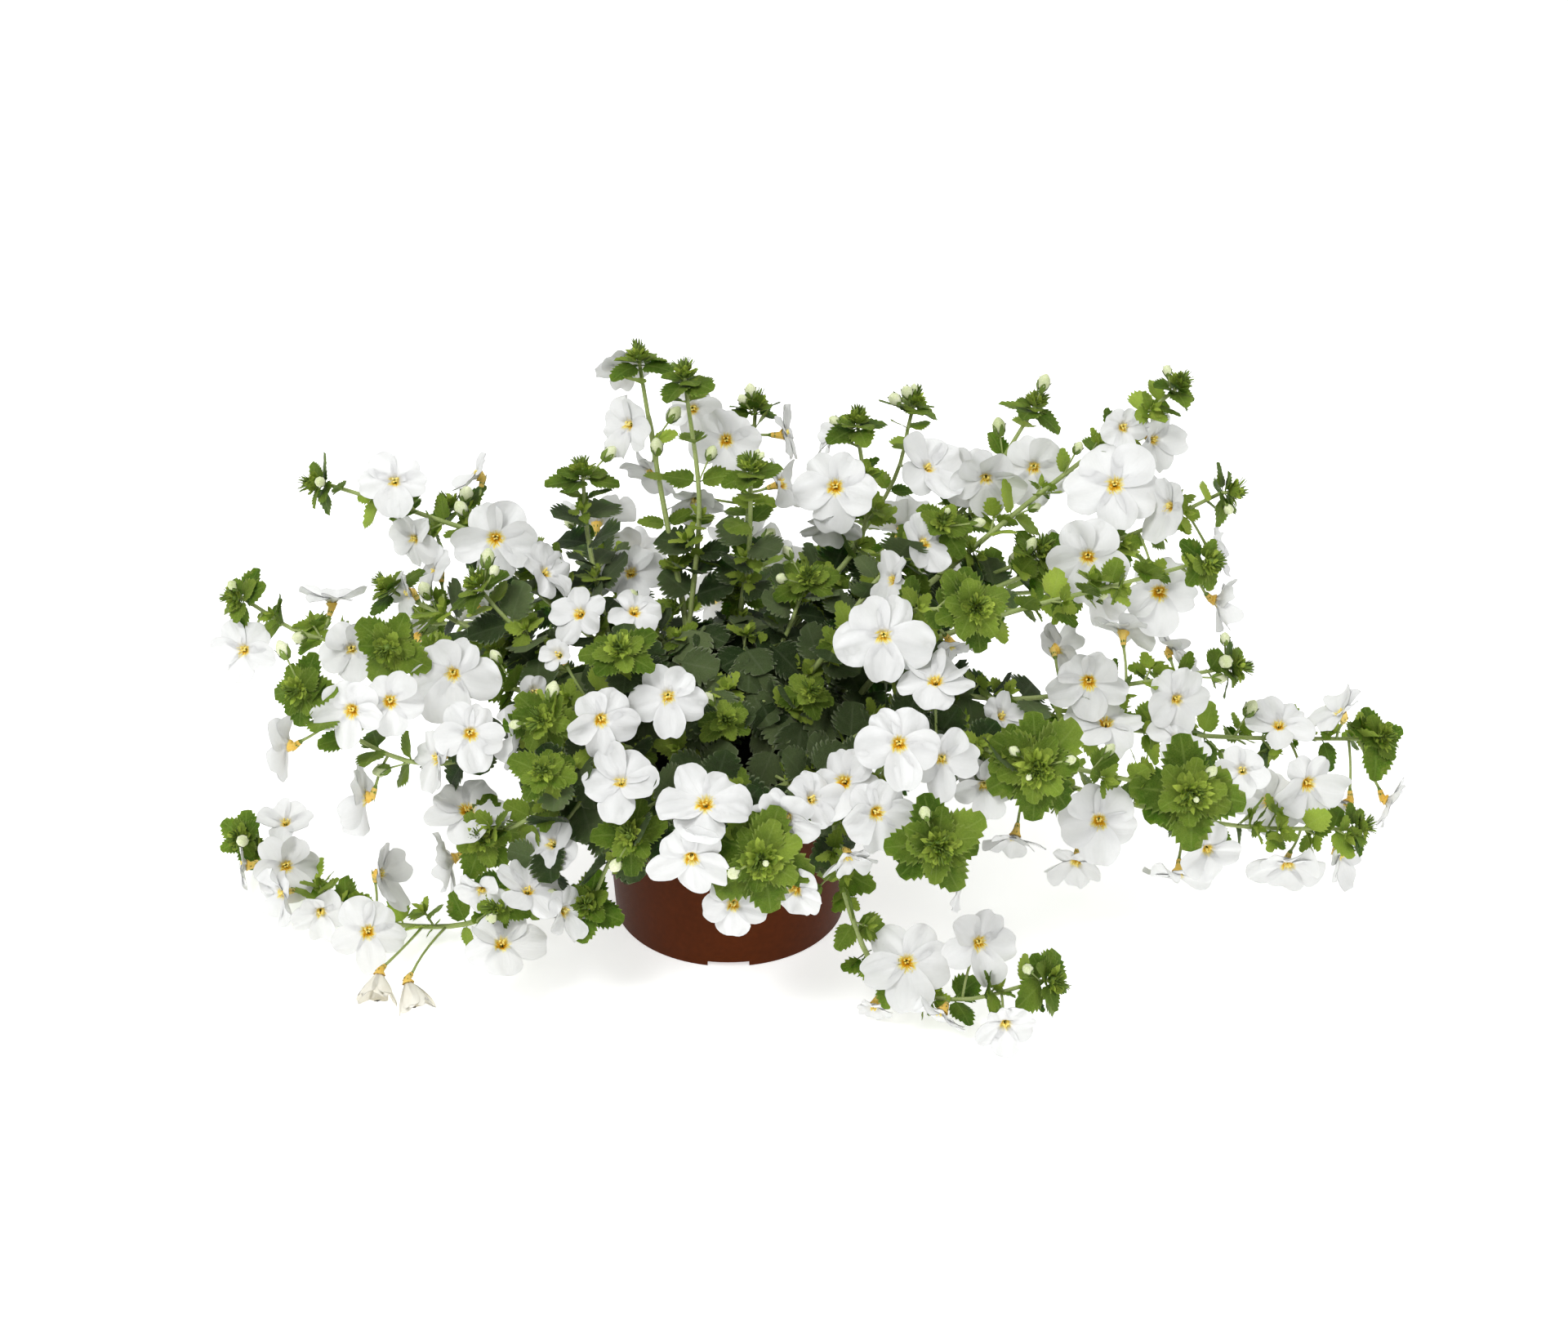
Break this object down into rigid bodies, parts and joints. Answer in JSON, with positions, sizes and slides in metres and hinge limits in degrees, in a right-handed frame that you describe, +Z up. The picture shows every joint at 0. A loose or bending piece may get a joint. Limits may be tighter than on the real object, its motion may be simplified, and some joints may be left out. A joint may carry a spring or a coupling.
{
  "type": "potted bacopa",
  "caption": "Low brown nursery pot of soil with arching leafy stems that spread and trail past the rim, toothed leaves and small white five-lobed blooms.",
  "frame": {"origin": "centre of the pot's base, on the surface it stands on", "axes": "+Z up, -Y towards the front of the picture, +X to the right seen from the front"},
  "size_m": [0.4784, 0.2547, 0.2111],
  "materials": {
    "pot": "semi-matte reddish-brown moulded plastic",
    "soil": "dark crumbly potting soil",
    "leaf": "soft matte young leaf, yellow-green, lightly hairy",
    "old_leaf": "matte older leaf, dark bluish green, hairy",
    "petal": "soft matte white petal with a yellow-orange throat"
  },
  "bodies": {
    "root": {"pot": "pot", "soil": "soil", "stem_upright_left": "leaf", "stem_upright_back": "leaf", "stem_upright_right": "leaf", "stem_right_back": "leaf", "stem_right_high": "leaf", "stem_right_mid": "leaf", "stem_right_far": "leaf", "stem_right_front": "leaf", "stem_front_right": "leaf", "stem_crown_right": "leaf", "stem_trail_right": "leaf", "stem_front": "leaf", "stem_left_front": "leaf", "stem_crown_left": "leaf", "stem_left_low": "leaf", "stem_left_mid": "leaf", "stem_left_high": "leaf", "stem_trail_left": "leaf", "stem_back_left": "leaf", "stem_back": "leaf", "stem_back_right": "leaf", "stem_heart": "old_leaf", "blooms_01": "petal", "blooms_02": "petal", "blooms_03": "petal", "blooms_04": "petal", "blooms_05": "petal", "blooms_06": "petal", "blooms_07": "petal", "blooms_08": "petal", "blooms_09": "petal", "blooms_10": "petal", "blooms_11": "petal", "blooms_12": "petal", "blooms_13": "petal", "blooms_14": "petal", "blooms_15": "petal", "blooms_16": "petal", "blooms_17": "petal", "blooms_18": "petal", "blooms_19": "petal", "blooms_20": "petal", "blooms_21": "petal", "blooms_22": "petal", "blooms_23": "petal", "blooms_24": "petal", "blooms_25": "petal", "blooms_26": "petal", "blooms_27": "petal", "blooms_28": "petal", "blooms_29": "petal", "blooms_30": "petal", "blooms_31": "petal", "blooms_32": "petal", "blooms_33": "petal", "blooms_34": "petal", "blooms_35": "petal", "blooms_36": "petal"}
  },
  "joints": []
}
